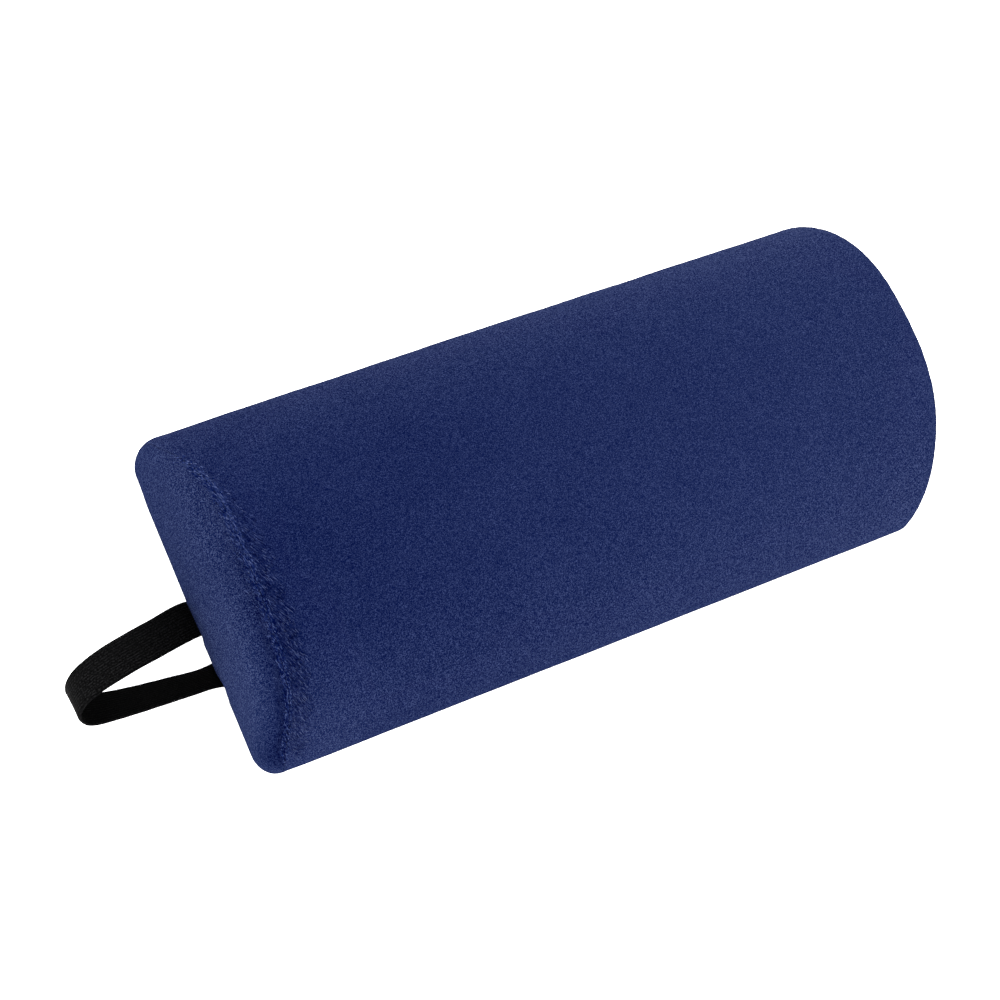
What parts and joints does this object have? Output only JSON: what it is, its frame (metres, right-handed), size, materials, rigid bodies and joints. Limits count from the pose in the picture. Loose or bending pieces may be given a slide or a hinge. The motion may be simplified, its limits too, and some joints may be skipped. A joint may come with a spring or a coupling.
{
  "type": "half-round lumbar roll cushion",
  "caption": "Half-round filled lumbar roll with a flat back, a domed velour crown, sewn end panels and an elastic strap that loops out at one end.",
  "frame": {"origin": "middle of the flat back, on the surface that the roll lies on", "axes": "+X along the roll's length, away from the end with the strap loop; +Y across its width; +Z from the flat back up to the crown"},
  "size_m": [0.3653, 0.1416, 0.0844],
  "materials": {
    "navy_velour": "short-pile navy velour",
    "navy_velour_end": "short-pile navy velour, pile brushed the other way",
    "black_elastic": "black woven elastic with fine lengthwise ribs"
  },
  "bodies": {
    "root": {"filled_wrap": "navy_velour", "end_panel_left": "navy_velour_end", "end_panel_right": "navy_velour_end", "elastic_strap": "black_elastic"}
  },
  "joints": []
}
